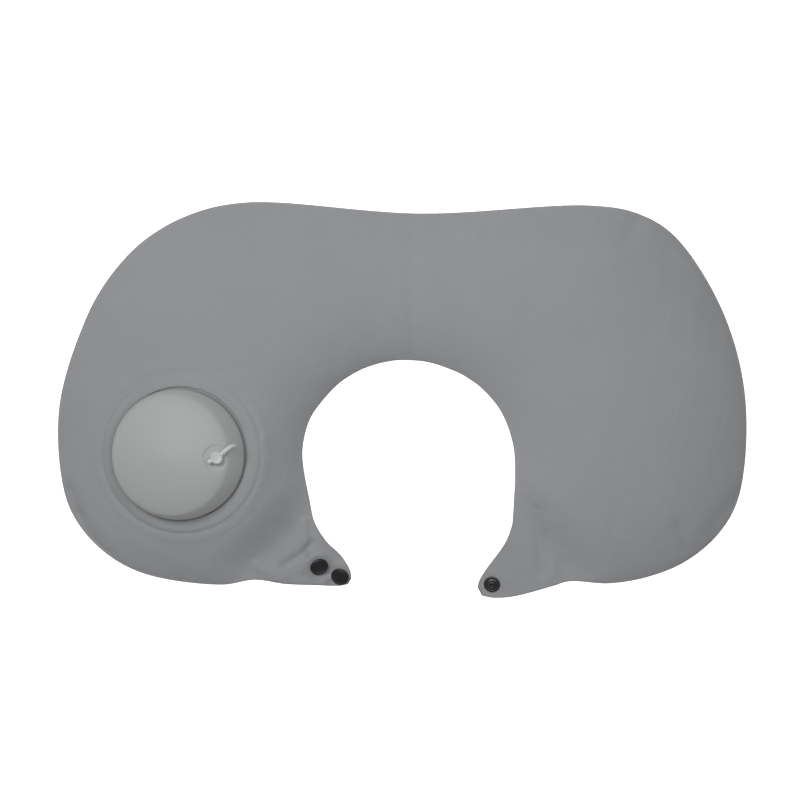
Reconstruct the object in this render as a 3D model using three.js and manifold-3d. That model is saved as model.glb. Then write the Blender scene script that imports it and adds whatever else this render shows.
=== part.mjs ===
// An inflatable travel pillow, lying face up on a level surface.
// Two cloth panels are joined along one seam into a U-shaped air chamber, with a flat snap tab at each
// end of the U, and a press pump with its plug valve on the left lobe.
// Millimetres. +X runs to the right lobe, +Y from the neck opening to the bridge, +Z out of the face.
// The origin lies on the surface, under the middle of the pillow's box. While the pieces are made,
// the seam lies at Z 0.

import * as THREE from 'three';
import { mergeVertices } from 'three/addons/utils/BufferGeometryUtils.js';
import loadManifold from 'manifold-3d';

const wasm = await loadManifold();
wasm.setup();

// Cloth and air chamber. The crown is the fullest lobe's rise over the seam. A crown power of 1 gives a
// slack lens and 0.5 a tight round section. The air thins out towards each tab over the weld fade. The
// back lies under each fold of the face only where its own rise is less than the fold's carry.
const CLEARANCE = 0.3;
const CLOTH_EDGE = 1.6;
const CROWN = 23;
const CROWN_POWER = 0.65;
const REST_DEPTH = 20.5;
const WELD_FADE = 34;
const FOLD_CARRY = 4;
const STATION_PITCH = 11;
const TAB_PITCH = 5;
const RIB_STEPS = 16;

// Press pump on the left lobe, with the ring of cloth that is raised round its dome. Its plate lies on
// the lobe's slope, which climbs to the right and towards the bridge.
const PUMP = { x: -149.3, y: -36.4, pad: 17.8, climbX: 0.1, climbY: 0.06, plateRadius: 57 };
const RING = { inner: 44.7, outer: 54.5, rise: 0.9, round: 1.2, skirt: 3, bury: 6 };
const DOME = { radius: 44.3, baseRadius: 43.8, height: 30, tuck: 9, acrossPower: 1.35, upPower: 2.6 };

// How far the soft dome slumps left and down for each millimetre of its height
const SLUMP = { x: -0.06, y: -0.05 };

// Plug valve on the dome, in degrees and millimetres from the dome's middle. Its seat is sunk into the
// skin on the side of the dome's middle, and stands a little proud on the outer side.
const VALVE = { out: 30.5, bearing: 1, lean: 20, seatRadius: 8.8, seatSink: 0.9, bury: 6, open: 4 };
const STEM = { radius: 4.7, topRadius: 3.9, shoulder: 0.9, height: 2.4 };
const PLUG = { radius: 3.8, height: 1.6, round: 0.4 };
const GRIP = { out: 5.3, radius: 1.45, bearing: 207, low: 0.2, thick: 1.1 };
const STRAP = { width: 2.6, thick: 0.9, steps: 16 };

// Snap fasteners
const SNAP_CAP_RADIUS = 6.3;
const SNAP_FACE_RADIUS = 5.6;
const SNAP_GAP = 0.35;

const ROUND_STEPS = { dome: 64, ring: 72, snap: 28, valve: 24 };

// Names the columns of a table's rows.
function table(columns, rows) {
  return rows.map((row) => Object.fromEntries(columns.map((column, place) => [column, row[place]])));
}

// Sections across the pillow, from the left tab's tip over the bridge to the right tab's tip.
// Each runs from the neck opening's edge to the outer rim.
const SECTIONS = table(['neckX', 'neckY', 'rimX', 'rimY'], [
  [-34.7, -123.8, -37.4, -128.2],
  [-35.4, -118.5, -43.0, -129.5],
  [-41.5, -108.4, -60.0, -128.6],
  [-52.0, -97.8, -80.0, -127.5],
  [-60.0, -84.5, -101.0, -124.4],
  [-63.0, -71.5, -124.0, -127.8],
  [-68.3, -40.0, -174.0, -121.2],
  [-67.2, -27.0, -199.0, -109.6],
  [-63.2, -13.8, -219.5, -90.5],
  [-57.0, -4.0, -232.0, -65.8],
  [-43.0, 11.1, -236.2, -6.5],
  [-29.0, 19.9, -219.0, 52.7],
  [-22.0, 22.8, -202.5, 82.9],
  [-15.0, 24.9, -178.0, 109.4],
  [-8.5, 26.2, -146.0, 127.5],
  [-2.0, 27.0, -107.0, 135.9],
  [18.0, 25.7, 13.0, 128.3],
  [40.0, 18.0, 130.0, 133.8],
  [47.5, 13.5, 162.0, 128.6],
  [55.0, 7.9, 188.0, 113.1],
  [68.5, -8.2, 221.5, 60.9],
  [77.0, -31.5, 237.2, 0.0],
  [78.3, -53.0, 232.6, -67.2],
  [78.0, -61.0, 218.5, -92.8],
  [77.6, -68.0, 196.0, -111.7],
  [77.2, -75.0, 170.0, -122.4],
  [76.8, -81.0, 143.0, -126.9],
  [76.2, -86.5, 115.5, -125.5],
  [71.6, -98.8, 104.0, -128.9],
  [58.0, -118.3, 77.0, -136.4],
  [53.8, -125.6, 63.0, -137.4],
  [52.7, -130.0, 56.0, -136.0],
]);

// The air chamber lies between these two sections, and the tabs are flat beyond them.
const LEFT_WELD = 4;
const RIGHT_WELD = 27;

// Each tab droops from its weld towards the surface. The twist leans its tip across its length, from
// the start of the twist over its run, both shares of the reach.
const TABS = {
  left: { weld: LEFT_WELD, tip: 0, reach: 52, drop: 6, twist: -0.1 },
  right: { weld: RIGHT_WELD, tip: SECTIONS.length - 1, reach: 52, drop: 5, twist: 0 },
};
const TWIST_START = 0.45;
const TWIST_RUN = 0.4;

// Snap fasteners: two caps on the left tab, each over its socket, and a stud on the right tab over its
// cap. The cloth under each is pressed flat and rocks down towards a bearing in degrees.
const SNAPS = [
  { face: 'snap_cap_inner', back: 'snap_socket_inner', tab: TABS.left, x: -57.4, y: -114.7, rock: 24, toward: -63 },
  { face: 'snap_cap_outer', back: 'snap_socket_outer', tab: TABS.left, x: -42.0, y: -122.0, rock: 20, toward: 219 },
  { face: 'snap_stud', back: 'snap_stud_cap', tab: TABS.right, x: 62.7, y: -127.5, rock: 6, toward: -120 },
];
const SNAP_SEAT = { radius: 6.4, fade: 6 };

// Folds and troughs in the face, each a soft ridge from one end to the other
const FOLDS = table(['fromX', 'fromY', 'toX', 'toY', 'halfWidth', 'rise'], [
  [-66.5, -84, -66.5, -98, 2.6, 1.5],
  [-62, -99, -68, -108, 2.4, -1.1],
  [-68, -106, -81, -114.5, 2.8, -1.4],
  [-99, -115, -83, -123, 4.0, 1.6],
  [-69, -109, -69, -118, 2.2, 0.9],
  [-228, -61, -222, -78, 4.0, -2.2],
  [-221, -80, -209, -97, 4.0, -1.8],
  [-207, -101, -199, -106, 3.5, -1.5],
  [163, 124, 153, 109, 5.0, -1.3],
  [206, 86, 191, 99, 4.0, 1.2],
  [7, 125, 7, 31, 5.0, -0.9],
  [94, -76, 97, -119, 4.0, -1.2],
  [102, -84, 105, -120, 4.0, 0.9],
  [228, -69, 214, -88, 6.0, -1.6],
  [189, -86, 195, -102, 4.0, -1.2],
]);

// The strap's middle line, from the plug out over the dome's shoulder and down to where it is tied.
// Distances and bearings are about the valve's axis, and heights above the dome's skin there.
const STRAP_PATH = table(['out', 'bearing', 'height'], [
  [2.0, 41, 2.9],
  [6.0, 41, 3.3],
  [10.0, 41, 3.4],
  [12.6, 39.5, 2.9],
  [14.3, 36, 1.6],
  [15.2, 32.5, 0.0],
  [15.8, 29.5, -1.9],
]);

function smooth(share) {
  const held = THREE.MathUtils.clamp(share, 0, 1);
  return held * held * (3 - 2 * held);
}

// Merges a geometry's shared points, drops its empty triangles and turns its faces outwards.
function closed(geometry) {
  const bare = new THREE.BufferGeometry();
  bare.setAttribute('position', geometry.getAttribute('position'));
  if (geometry.index) bare.setIndex(geometry.index);
  const merged = mergeVertices(bare, 1e-4);
  const place = merged.getAttribute('position');
  const corner = [new THREE.Vector3(), new THREE.Vector3(), new THREE.Vector3()];
  const kept = [];
  let volume = 0;
  for (let start = 0; start < merged.index.count; start += 3) {
    const ids = [0, 1, 2].map((step) => merged.index.getX(start + step));
    if (new Set(ids).size < 3) continue;
    ids.forEach((id, step) => corner[step].fromBufferAttribute(place, id));
    volume += corner[0].dot(corner[1].clone().cross(corner[2]));
    kept.push(ids);
  }
  merged.setIndex(kept.flatMap((ids) => (volume > 0 ? ids : [ids[0], ids[2], ids[1]])));
  return merged;
}

function toSolid(geometry) {
  return new wasm.Manifold(new wasm.Mesh({
    numProp: 3,
    vertProperties: new Float32Array(geometry.getAttribute('position').array),
    triVerts: new Uint32Array(geometry.index.array),
  }));
}

function toGeometry(solid) {
  const mesh = solid.getMesh();
  const geometry = new THREE.BufferGeometry();
  geometry.setAttribute('position', new THREE.BufferAttribute(mesh.vertProperties, mesh.numProp));
  geometry.setIndex(new THREE.BufferAttribute(mesh.triVerts, 1));
  return geometry;
}

function join(...geometries) {
  return toGeometry(geometries.map(toSolid).reduce((whole, piece) => whole.add(piece)));
}

// Turns a profile of radius and height pairs about the Z axis.
function turned(profile, steps) {
  const points = profile.map(([radius, height]) => new THREE.Vector2(radius, height));
  return closed(new THREE.LatheGeometry(points, steps).rotateX(Math.PI / 2));
}

// How far a tab's middle lies off the seam's plane at a point
function tabHeight(tab, x, y) {
  const weld = SECTIONS[tab.weld];
  const tip = SECTIONS[tab.tip];
  const along = new THREE.Vector2(weld.neckX - weld.rimX, weld.neckY - weld.rimY).normalize();
  const outward = new THREE.Vector2(along.y, -along.x);
  const toTip = new THREE.Vector2(tip.neckX - weld.neckX, tip.neckY - weld.neckY);
  if (outward.dot(toTip) < 0) outward.negate();
  const out = outward.dot(new THREE.Vector2(x - weld.neckX, y - weld.neckY)) / tab.reach;
  const across = along.dot(new THREE.Vector2(x - tip.neckX, y - tip.neckY));
  return -tab.drop * smooth(out) - tab.twist * across * smooth((out - TWIST_START) / TWIST_RUN);
}

function distanceToLine(x, y, fromX, fromY, toX, toY) {
  const point = new THREE.Vector3(x, y, 0);
  const line = new THREE.Line3(new THREE.Vector3(fromX, fromY, 0), new THREE.Vector3(toX, toY, 0));
  return line.closestPointToPoint(point, true, new THREE.Vector3()).distanceTo(point);
}

function foldHeight(x, y) {
  return FOLDS.reduce((height, fold) => {
    const away = distanceToLine(x, y, fold.fromX, fold.fromY, fold.toX, fold.toY) / fold.halfWidth;
    return height + fold.rise * Math.exp(-away * away);
  }, 0);
}

// The share of the air's rise that is left beside the welds, from 0 on a weld to 1
function weldShare(x, y) {
  return [LEFT_WELD, RIGHT_WELD].reduce((share, row) => {
    const weld = SECTIONS[row];
    const away = distanceToLine(x, y, weld.neckX, weld.neckY, weld.rimX, weld.rimY);
    return share * smooth(away / WELD_FADE);
  }, 1);
}

// How far the cloth rocks up or down round the snaps
function seatHeight(x, y) {
  return SNAPS.reduce((height, snap) => {
    const away = Math.hypot(x - snap.x, y - snap.y);
    const share = 1 - smooth((away - SNAP_SEAT.radius) / SNAP_SEAT.fade);
    const toward = THREE.MathUtils.degToRad(snap.toward);
    const down = (x - snap.x) * Math.cos(toward) + (y - snap.y) * Math.sin(toward);
    return height - Math.tan(THREE.MathUtils.degToRad(snap.rock)) * down * share;
  }, 0);
}

// The middle of a tab's cloth off the seam's plane, with its folds
function clothMiddle(tab, x, y) {
  return tabHeight(tab, x, y) + seatHeight(x, y) + foldHeight(x, y);
}

// The height of the pump's plate over the seam, with the slope that it lies on
function plateHeight(x, y) {
  return PUMP.pad + PUMP.climbX * (x - PUMP.x) + PUMP.climbY * (y - PUMP.y);
}

// Stands what is made about an upright axis square on the pump's plate.
const PUMP_TURN = new THREE.Quaternion().setFromUnitVectors(
  new THREE.Vector3(0, 0, 1),
  new THREE.Vector3(-PUMP.climbX, -PUMP.climbY, 1).normalize(),
);

// Heights of a membrane under even pressure over a flat mesh, held at each point whose pin is a number
function membrane(points, triangles, pins) {
  const load = points.map(() => 0);
  const links = points.map(() => new Map());
  for (const ids of triangles) {
    for (let turn = 0; turn < 3; turn += 1) {
      const [a, b, c] = [ids[turn], ids[(turn + 1) % 3], ids[(turn + 2) % 3]];
      const toB = points[b].clone().sub(points[a]);
      const toC = points[c].clone().sub(points[a]);
      const twiceArea = Math.abs(toB.cross(toC));
      const pull = toB.dot(toC) / twiceArea / 2;
      links[b].set(c, (links[b].get(c) ?? 0) + pull);
      links[c].set(b, (links[c].get(b) ?? 0) + pull);
      load[a] += twiceArea / 6;
    }
  }
  const heights = pins.map((pin) => pin ?? 0);
  const free = points.map((_, id) => id).filter((id) => pins[id] === null);
  const sweeps = 500;
  const overshoot = 1.9;
  for (let sweep = 0; sweep < sweeps; sweep += 1) {
    for (const id of free) {
      let pulled = load[id];
      let total = 0;
      for (const [other, pull] of links[id]) {
        pulled += pull * heights[other];
        total += pull;
      }
      heights[id] += overshoot * (pulled / total - heights[id]);
    }
  }
  return heights;
}

// The flat mesh that both panels share: stations along the U, each with a rib of points across it
function panelMesh() {
  const curve = (across, up) => new THREE.CatmullRomCurve3(
    SECTIONS.map((section) => new THREE.Vector3(section[across], section[up], 0)),
  );
  const neck = curve('neckX', 'neckY');
  const rim = curve('rimX', 'rimY');
  const gaps = SECTIONS.length - 1;
  const stations = [0];
  for (let gap = 0; gap < gaps; gap += 1) {
    const length = rim.getPoint(gap / gaps).distanceTo(rim.getPoint((gap + 1) / gaps));
    const pitch = gap < LEFT_WELD || gap >= RIGHT_WELD ? TAB_PITCH : STATION_PITCH;
    const steps = Math.max(2, Math.round(length / pitch));
    for (let step = 1; step <= steps; step += 1) stations.push(gap + step / steps);
  }
  const points = [];
  const onSeam = [];
  const tabOf = [];
  stations.forEach((station, row) => {
    const from = neck.getPoint(station / gaps);
    const to = rim.getPoint(station / gaps);
    const sideTab = station >= RIGHT_WELD ? TABS.right : null;
    for (let step = 0; step <= RIB_STEPS; step += 1) {
      const share = (1 - Math.cos((Math.PI * step) / RIB_STEPS)) / 2;
      const point = from.clone().lerp(to, share);
      points.push(new THREE.Vector2(point.x, point.y));
      onSeam.push(step === 0 || step === RIB_STEPS || row === 0 || row === stations.length - 1);
      tabOf.push(station <= LEFT_WELD ? TABS.left : sideTab);
    }
  });
  const triangles = [];
  const width = RIB_STEPS + 1;
  for (let row = 0; row < stations.length - 1; row += 1) {
    for (let step = 0; step < RIB_STEPS; step += 1) {
      const near = row * width + step;
      const far = near + width;
      triangles.push([near, far, near + 1], [near + 1, far, far + 1]);
    }
  }
  const lastRow = (stations.length - 1) * width;
  const edge = [
    ...stations.map((_, row) => row * width),
    ...Array.from({ length: RIB_STEPS - 1 }, (_, step) => lastRow + step + 1),
    ...stations.map((_, row) => row * width + RIB_STEPS).reverse(),
    ...Array.from({ length: RIB_STEPS - 1 }, (_, step) => RIB_STEPS - 1 - step),
  ];
  return { points, triangles, onSeam, tabOf, edge };
}

function pillowBody() {
  const { points, triangles, onSeam, tabOf, edge } = panelMesh();
  const slack = points.map((_, id) => (tabOf[id] || onSeam[id] ? 0 : null));
  const free = membrane(points, triangles, slack);
  const fullest = Math.max(...free);
  const onPlate = ({ x, y }) => fullest * (plateHeight(x, y) / CROWN) ** (1 / CROWN_POWER);
  const overPlate = points.map((point) => Math.hypot(point.x - PUMP.x, point.y - PUMP.y) < PUMP.plateRadius);
  const face = membrane(points, triangles, slack.map((pin, id) => (overPlate[id] ? onPlate(points[id]) : pin)));
  const rise = (height, x, y) => CROWN * (height / fullest) ** CROWN_POWER * weldShare(x, y);
  const top = [];
  const bottom = [];
  points.forEach(({ x, y }, id) => {
    const fold = onSeam[id] || overPlate[id] ? 0 : foldHeight(x, y);
    const middle = tabOf[id] ? tabHeight(tabOf[id], x, y) + seatHeight(x, y) : 0;
    const backRise = rise(free[id], x, y);
    const carried = fold * (1 - smooth(backRise / FOLD_CARRY));
    top.push(x, y, middle + fold + CLOTH_EDGE / 2 + rise(face[id], x, y));
    bottom.push(x, y, Math.max(middle + carried - CLOTH_EDGE / 2 - backRise, -REST_DEPTH));
  });
  const count = points.length;
  const faces = triangles.flatMap(([a, b, c]) => [a, b, c, count + a, count + c, count + b]);
  edge.forEach((id, place) => {
    const next = edge[(place + 1) % edge.length];
    faces.push(id, count + id, next, next, count + id, count + next);
  });
  const geometry = new THREE.BufferGeometry();
  geometry.setAttribute('position', new THREE.Float32BufferAttribute([...top, ...bottom], 3));
  geometry.setIndex(faces);
  return join(closed(geometry), pumpRing());
}

// The cloth's raised ring round the dome
function pumpRing() {
  const crest = RING.rise;
  return turned([
    [RING.inner, -RING.bury],
    [RING.outer + RING.skirt, -RING.bury],
    [RING.outer + RING.skirt, crest - RING.round - RING.skirt],
    [RING.outer, crest - RING.round],
    [RING.outer - RING.round * 0.4, crest - RING.round * 0.3],
    [RING.outer - RING.round * 1.5, crest],
    [RING.inner + RING.round, crest],
    [RING.inner, crest - RING.round * 0.4],
    [RING.inner, -RING.bury],
  ], ROUND_STEPS.ring).applyQuaternion(PUMP_TURN).translate(PUMP.x, PUMP.y, CLOTH_EDGE / 2 + PUMP.pad);
}

// The dome's height over its base at a distance from its middle
function domeHeight(out) {
  const crown = (1 - (out / DOME.radius) ** DOME.acrossPower) ** (1 / DOME.upPower);
  return DOME.tuck + (DOME.height - DOME.tuck) * crown;
}

// Stands a piece on the valve's axis, at a height above the dome's skin.
function onValve(geometry, height) {
  const bearing = THREE.MathUtils.degToRad(VALVE.bearing);
  const skin = domeHeight(VALVE.out);
  return geometry
    .translate(0, 0, height)
    .rotateZ(-bearing)
    .rotateY(THREE.MathUtils.degToRad(VALVE.lean))
    .rotateZ(bearing)
    .translate(
      VALVE.out * Math.cos(bearing) + SLUMP.x * skin,
      VALVE.out * Math.sin(bearing) + SLUMP.y * skin,
      skin,
    );
}

function pumpDome() {
  const steps = 12;
  const profile = [[0, 0], [DOME.baseRadius - 1, 0], [DOME.baseRadius, 0.7]];
  for (let step = 0; step <= steps; step += 1) {
    const turn = (Math.PI / 2) * (step / steps);
    const out = step === steps ? 0 : DOME.radius * Math.cos(turn) ** (2 / DOME.acrossPower);
    profile.push([out, domeHeight(out)]);
  }
  const [seat, clear] = [[-VALVE.bury, -VALVE.seatSink], [-VALVE.seatSink, VALVE.open]].map(([low, high]) => (
    onValve(turned([
      [0, low],
      [VALVE.seatRadius, low],
      [VALVE.seatRadius, high],
      [0, high],
    ], ROUND_STEPS.valve * 2), 0)
  ));
  const slump = new THREE.Matrix4().makeShear(0, 0, 0, 0, SLUMP.x, SLUMP.y);
  const dome = turned(profile, ROUND_STEPS.dome).applyMatrix4(slump);
  return toGeometry(toSolid(dome).add(toSolid(seat)).subtract(toSolid(clear)));
}

const STEM_BASE = CLEARANCE - VALVE.seatSink;
const PLUG_BASE = STEM_BASE + STEM.height + CLEARANCE;

function valveStem() {
  return onValve(turned([
    [0, 0],
    [STEM.radius, 0],
    [STEM.radius, STEM.shoulder / 2],
    [(STEM.radius + STEM.topRadius) / 2, STEM.shoulder],
    [STEM.topRadius, STEM.height],
    [0, STEM.height],
  ], ROUND_STEPS.valve), STEM_BASE);
}

// A flat ribbon along the strap's path, as wide across its bearing as the strap
function strapRibbon() {
  const point = (out, bearing, height) => new THREE.Vector3(
    out * Math.cos(THREE.MathUtils.degToRad(bearing)),
    out * Math.sin(THREE.MathUtils.degToRad(bearing)),
    height,
  );
  const line = new THREE.CatmullRomCurve3(STRAP_PATH.map((row) => point(row.out, row.bearing, row.height)));
  const places = [];
  const faces = [];
  for (let step = 0; step <= STRAP.steps; step += 1) {
    const middle = line.getPointAt(step / STRAP.steps);
    const side = new THREE.Vector3(-middle.y, middle.x, 0).setLength(STRAP.width / 2);
    const face = line.getTangentAt(step / STRAP.steps).cross(side).setLength(STRAP.thick / 2);
    for (const [across, up] of [[-1, -1], [1, -1], [1, 1], [-1, 1]]) {
      places.push(...middle.clone().addScaledVector(side, across).addScaledVector(face, up).toArray());
    }
    if (step === 0) continue;
    for (let corner = 0; corner < 4; corner += 1) {
      const near = (step - 1) * 4 + corner;
      const beside = (step - 1) * 4 + ((corner + 1) % 4);
      faces.push(near, beside, beside + 4, near, beside + 4, near + 4);
    }
  }
  const last = STRAP.steps * 4;
  faces.push(0, 2, 1, 0, 3, 2, last, last + 1, last + 2, last, last + 2, last + 3);
  const geometry = new THREE.BufferGeometry();
  geometry.setAttribute('position', new THREE.Float32BufferAttribute(places, 3));
  geometry.setIndex(faces);
  return closed(geometry);
}

// The plug, with the grip tab at its edge and the strap that runs out over the dome's shoulder
function valveCap() {
  const plug = turned([
    [0, 0],
    [PLUG.radius - PLUG.round / 2, 0],
    [PLUG.radius, PLUG.round / 2],
    [PLUG.radius, PLUG.height - PLUG.round],
    [PLUG.radius - PLUG.round, PLUG.height],
    [0, PLUG.height],
  ], ROUND_STEPS.valve).translate(0, 0, PLUG_BASE);
  const outline = new THREE.Shape()
    .moveTo(0, -GRIP.radius)
    .lineTo(GRIP.out, -GRIP.radius)
    .absarc(GRIP.out, 0, GRIP.radius, -Math.PI / 2, Math.PI / 2)
    .lineTo(0, GRIP.radius);
  const grip = closed(new THREE.ExtrudeGeometry(outline, { depth: GRIP.thick, bevelEnabled: false }))
    .rotateZ(THREE.MathUtils.degToRad(GRIP.bearing))
    .translate(0, 0, PLUG_BASE + GRIP.low);
  return onValve(join(plug, grip, strapRibbon()), 0);
}

function snapCap() {
  const radius = SNAP_CAP_RADIUS;
  return turned([
    [0, 0],
    [radius - 0.5, 0],
    [radius, 0.5],
    [radius, 0.9],
    [radius - 0.7, 1.6],
    [radius - 1.5, 1.9],
    [0, 2.2],
  ], ROUND_STEPS.snap);
}

function snapSocket() {
  const radius = SNAP_FACE_RADIUS;
  return turned([
    [0, 0],
    [radius - 0.3, 0],
    [radius, 0.3],
    [radius, 0.9],
    [radius - 0.8, 1.3],
    [radius - 1.2, 2.3],
    [radius - 2.0, 2.6],
    [radius - 2.6, 2.3],
    [radius - 2.8, 0.8],
    [0, 0.8],
  ], ROUND_STEPS.snap);
}

function snapStud() {
  const radius = SNAP_FACE_RADIUS;
  return turned([
    [0, 0],
    [radius - 0.3, 0],
    [radius, 0.3],
    [radius, 0.8],
    [radius - 0.5, 1.1],
    [radius - 2.0, 1.2],
    [radius - 2.8, 1.6],
    [radius - 3.0, 2.4],
    [radius - 2.8, 3.0],
    [radius - 3.3, 3.4],
    [1.2, 3.4],
    [0.9, 2.4],
    [0, 2.4],
  ], ROUND_STEPS.snap);
}

// Seats a snap's half flat on a tab's cloth: side 1 is the face and -1 the back.
function seatSnap(mesh, tab, x, y, radius, side) {
  const reach = 1;
  const slopeX = (clothMiddle(tab, x + reach, y) - clothMiddle(tab, x - reach, y)) / (2 * reach);
  const slopeY = (clothMiddle(tab, x, y + reach) - clothMiddle(tab, x, y - reach)) / (2 * reach);
  const middle = clothMiddle(tab, x, y);
  const normal = new THREE.Vector3(-slopeX, -slopeY, 1).normalize().multiplyScalar(side);
  let bulge = 0;
  for (let step = 0; step < ROUND_STEPS.snap; step += 1) {
    for (const share of [0.5, 1]) {
      const turn = (2 * Math.PI * step) / ROUND_STEPS.snap;
      const [dx, dy] = [radius * share * Math.cos(turn), radius * share * Math.sin(turn)];
      const level = middle + slopeX * dx + slopeY * dy;
      bulge = Math.max(bulge, side * (clothMiddle(tab, x + dx, y + dy) - level));
    }
  }
  mesh.position.set(x, y, middle).addScaledVector(normal, CLOTH_EDGE / 2 + SNAP_GAP + bulge);
  mesh.quaternion.setFromUnitVectors(new THREE.Vector3(0, 0, 1), normal);
  return mesh;
}

const cloth = new THREE.MeshStandardMaterial({ color: 0x8b8c8e, roughness: 0.9, metalness: 0 });
const domeSkin = new THREE.MeshStandardMaterial({ color: 0xa0a3a1, roughness: 0.6, metalness: 0 });
const softPlastic = new THREE.MeshStandardMaterial({ color: 0xbcc0c0, roughness: 0.4, metalness: 0 });
const blackPlastic = new THREE.MeshStandardMaterial({ color: 0x262628, roughness: 0.35, metalness: 0 });

function piece(name, geometry, material) {
  const mesh = new THREE.Mesh(geometry, material);
  mesh.name = name;
  return mesh;
}

const pump = new THREE.Group();
pump.add(
  piece('pump_dome', pumpDome(), domeSkin),
  piece('valve_stem', valveStem(), softPlastic),
  piece('valve_cap', valveCap(), softPlastic),
);
pump.quaternion.copy(PUMP_TURN);
pump.position.set(PUMP.x, PUMP.y, CLOTH_EDGE / 2 + PUMP.pad);
pump.translateZ(CLEARANCE);

const pillow = new THREE.Group();
pillow.add(piece('pillow_body', pillowBody(), cloth), pump);

for (const { face, back, tab, x, y } of SNAPS) {
  const capOver = tab === TABS.left;
  const [over, under] = capOver ? [snapCap(), snapSocket()] : [snapStud(), snapCap()];
  const [overRadius, underRadius] = capOver
    ? [SNAP_CAP_RADIUS, SNAP_FACE_RADIUS]
    : [SNAP_FACE_RADIUS, SNAP_CAP_RADIUS];
  pillow.add(
    seatSnap(piece(face, over, blackPlastic), tab, x, y, overRadius, 1),
    seatSnap(piece(back, under, blackPlastic), tab, x, y, underRadius, -1),
  );
}

const box = new THREE.Box3().setFromObject(pillow, true);
pillow.position.set(-(box.min.x + box.max.x) / 2, -(box.min.y + box.max.y) / 2, -box.min.z);

const group = new THREE.Group();
group.add(pillow);

export default group;
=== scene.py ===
"""A grey inflatable travel pillow seen straight from above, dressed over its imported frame.

The U-shaped cloth body is drawn again as one fine surface: two welded panels, slack with air, with the
creases of the photograph, flat snap tabs and a raised ring round the press pump. The pump's dome, its plug
valve and the black snaps are turned or swept at moulding scale. Lengths are in millimetres until a mesh is
made, and the seam lies at height 0 until then.
"""

import logging
import math
from dataclasses import dataclass, field
from enum import Enum
from typing import NamedTuple, Sequence

import bpy
import numpy as np
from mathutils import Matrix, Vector
from mathutils.bvhtree import BVHTree


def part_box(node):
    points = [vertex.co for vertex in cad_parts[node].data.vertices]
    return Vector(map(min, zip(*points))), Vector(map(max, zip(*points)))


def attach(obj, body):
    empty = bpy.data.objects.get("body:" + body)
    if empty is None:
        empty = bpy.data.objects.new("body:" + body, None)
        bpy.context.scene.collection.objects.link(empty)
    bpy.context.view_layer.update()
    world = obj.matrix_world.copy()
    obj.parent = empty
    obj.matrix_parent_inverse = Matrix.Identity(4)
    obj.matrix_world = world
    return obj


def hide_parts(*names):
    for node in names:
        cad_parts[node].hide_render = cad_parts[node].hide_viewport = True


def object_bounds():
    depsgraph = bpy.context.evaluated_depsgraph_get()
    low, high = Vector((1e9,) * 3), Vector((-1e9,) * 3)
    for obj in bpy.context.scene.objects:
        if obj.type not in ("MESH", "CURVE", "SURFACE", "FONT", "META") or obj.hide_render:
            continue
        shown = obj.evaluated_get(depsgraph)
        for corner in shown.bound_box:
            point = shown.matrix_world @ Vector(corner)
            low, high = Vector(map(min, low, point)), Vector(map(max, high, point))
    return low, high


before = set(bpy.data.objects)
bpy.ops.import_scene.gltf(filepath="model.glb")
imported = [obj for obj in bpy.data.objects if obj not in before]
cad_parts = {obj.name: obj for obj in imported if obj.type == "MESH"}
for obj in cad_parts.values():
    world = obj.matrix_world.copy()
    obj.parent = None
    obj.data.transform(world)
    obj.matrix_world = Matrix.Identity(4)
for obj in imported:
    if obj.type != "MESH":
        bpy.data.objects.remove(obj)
CAD_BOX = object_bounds()

MM = 0.001
CLEARANCE = 0.3
ROOT = "root"
LOG = logging.getLogger("travel_pillow")


class Slot(Enum):
    """The record's material slots."""

    CLOTH = "cloth"
    PUMP_SKIN = "pump_skin"
    VALVE_PLASTIC = "valve_plastic"
    SNAP_PLASTIC = "snap_plastic"


class SnapForm(Enum):
    """The three mouldings of a plastic snap."""

    CAP = "cap"
    SOCKET = "socket"
    STUD = "stud"


class Section(NamedTuple):
    """A line across the pillow, from the neck opening's edge to the outer rim."""

    neck_x: float
    neck_y: float
    rim_x: float
    rim_y: float


class Fold(NamedTuple):
    """A soft ridge, or a trough where its rise is negative, from one end to the other."""

    from_x: float
    from_y: float
    to_x: float
    to_y: float
    half_width: float
    rise: float


class SnapSeat(NamedTuple):
    """Where a snap sits on a tab, and the angle that its cloth rocks down by towards a bearing."""

    x: float
    y: float
    rock: float
    toward: float
    on_left: bool


class StrapPoint(NamedTuple):
    """A point of the strap about the valve's axis, over the dome's skin there."""

    out: float
    bearing: float
    height: float


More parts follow.
